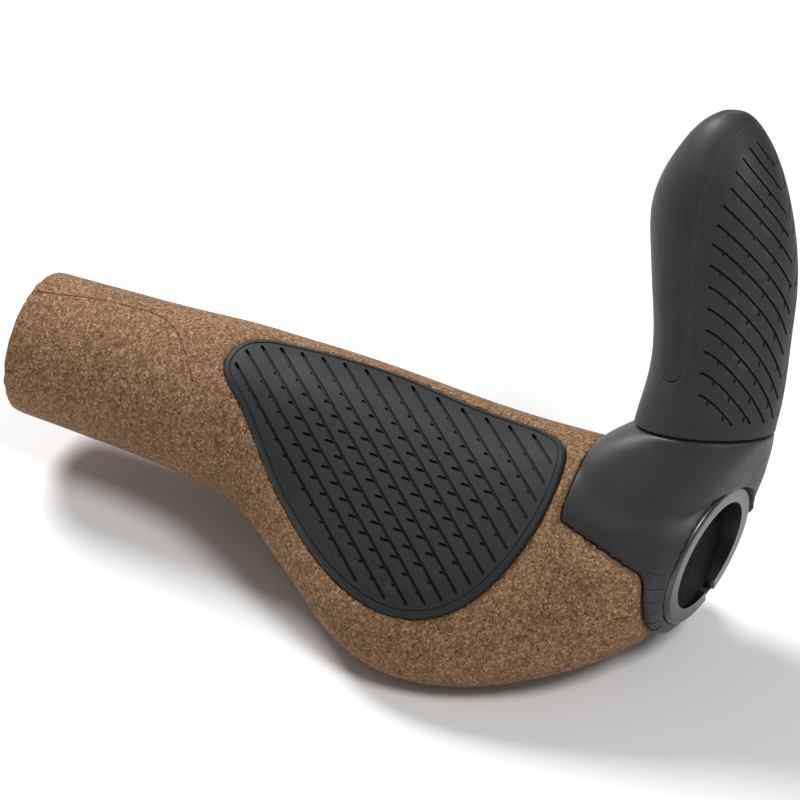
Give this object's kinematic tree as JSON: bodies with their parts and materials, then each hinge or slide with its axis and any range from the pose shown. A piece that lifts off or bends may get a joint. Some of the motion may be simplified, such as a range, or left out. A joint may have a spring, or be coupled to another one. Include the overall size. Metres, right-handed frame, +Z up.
{
  "type": "bicycle handlebar grip with bar end",
  "caption": "Winged cork handlebar grip with a grooved rubber palm pad and an upright bar end horn clamped round its outboard end.",
  "frame": {"origin": "handlebar axis at the bore's inboard mouth", "axes": "+X outboard along the handlebar, +Y forward, +Z up, right-hand grip in its riding position"},
  "size_m": [0.1668, 0.0842, 0.1106],
  "materials": {
    "cork": "granular cork compound, matte",
    "pad_rubber": "matte",
    "horn_rubber": "satin",
    "inlay_plastic": "satin",
    "nylon": "satin glass-filled nylon",
    "core_nylon": "matte",
    "ring_alloy": "dark satin anodised",
    "plug_plastic": "matte",
    "screw_steel": "satin"
  },
  "bodies": {
    "grip": {"grip_core": "core_nylon", "cork_grip": "cork", "palm_pad": "pad_rubber"},
    "bar_end": {"bar_end_body": "nylon", "horn_cover": "horn_rubber", "horn_inlay": "inlay_plastic", "clamp_ring": "ring_alloy", "clamp_nut": "screw_steel"},
    "screw_seat": {"clamp_washer": "screw_steel"},
    "screw": {"clamp_bolt": "screw_steel"},
    "plug": {"end_plug": "plug_plastic"}
  },
  "joints": [
    {"name": "bar_end_angle", "type": "hinge", "parent": "grip", "child": "bar_end", "pos_m": [0.145, 0, 0], "axis": [1, 0, 0], "range_deg": [-18, 0]},
    {"name": "clamp_screw_travel", "type": "slide", "parent": "bar_end", "child": "screw_seat", "axis": [0, 0.9563, 0.2924], "range_m": [0, 0.0035]},
    {"name": "clamp_screw_turn", "type": "hinge", "parent": "screw_seat", "child": "screw", "pos_m": [0.145, 0.00553, -0.01807], "axis": [0, 0.9563, 0.2924], "range_deg": [0, 1800]},
    {"name": "end_plug_pull", "type": "slide", "parent": "grip", "child": "plug", "axis": [1, 0, 0], "range_m": [0, 0.012]}
  ],
  "couplings": [
    {"joint": "clamp_screw_turn", "follows": "clamp_screw_travel", "rad_per_m": 8976}
  ]
}
